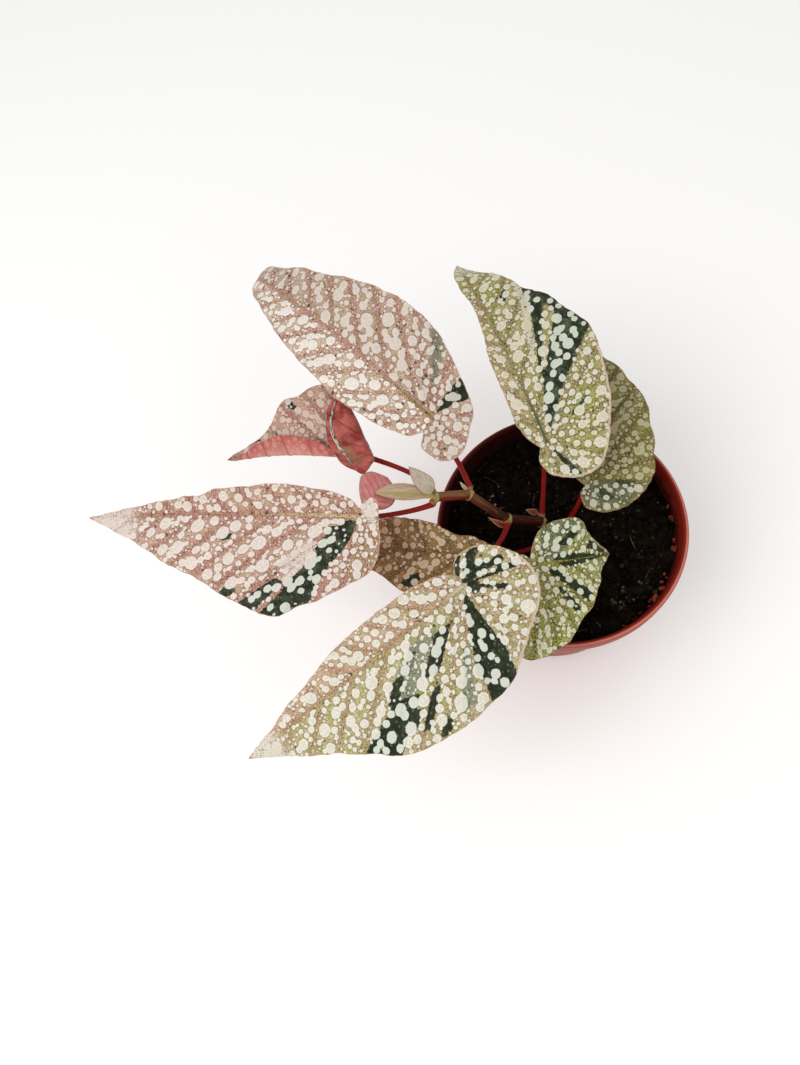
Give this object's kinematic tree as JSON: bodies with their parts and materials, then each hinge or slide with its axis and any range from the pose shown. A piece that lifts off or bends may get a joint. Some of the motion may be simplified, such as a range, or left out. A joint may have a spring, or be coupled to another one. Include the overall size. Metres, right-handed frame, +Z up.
{
  "type": "potted begonia",
  "caption": "Young cane begonia with spotted, oblique leaves on a leaning stem, planted in a round tapered nursery pot of dark soil.",
  "frame": {"origin": "centre of the pot's base, on the surface it stands on", "axes": "+Z up out of the pot; the cane leans and the leaves spread towards -X; +X is the pot's free side"},
  "size_m": [0.2395, 0.2035, 0.1657],
  "materials": {
    "pot": "terracotta-red moulded plastic, satin",
    "soil": "dark peat potting soil, loose and damp",
    "cane": "smooth young stem, brown-red with pale green nodes",
    "petiole": "smooth red stalk, slight gloss",
    "leaf_pink": "pink-brown blade with silver-white spots, satin",
    "leaf_olive": "olive green blade with silver-white spots, satin",
    "lobe": "pink underside with dark red veins",
    "sheath": "pale green, thin and slightly see-through",
    "dry_sheath": "dry papery brown"
  },
  "bodies": {
    "root": {"cane": "cane", "dry_sheath_1": "dry_sheath", "dry_sheath_2": "dry_sheath", "leaf_a": "leaf_pink", "leaf_b": "leaf_pink", "leaf_c": "leaf_pink", "leaf_c_lobe": "lobe", "leaf_d": "leaf_pink", "leaf_e": "leaf_olive", "leaf_f": "leaf_olive", "leaf_g": "leaf_olive", "leaf_h": "leaf_olive", "petiole_a": "petiole", "petiole_b": "petiole", "petiole_c": "petiole", "petiole_d": "petiole", "petiole_e": "petiole", "petiole_f": "petiole", "petiole_g": "petiole", "petiole_h": "petiole", "pot": "pot", "soil": "soil", "terminal_bud": "sheath", "top_sheath": "sheath"}
  },
  "joints": []
}
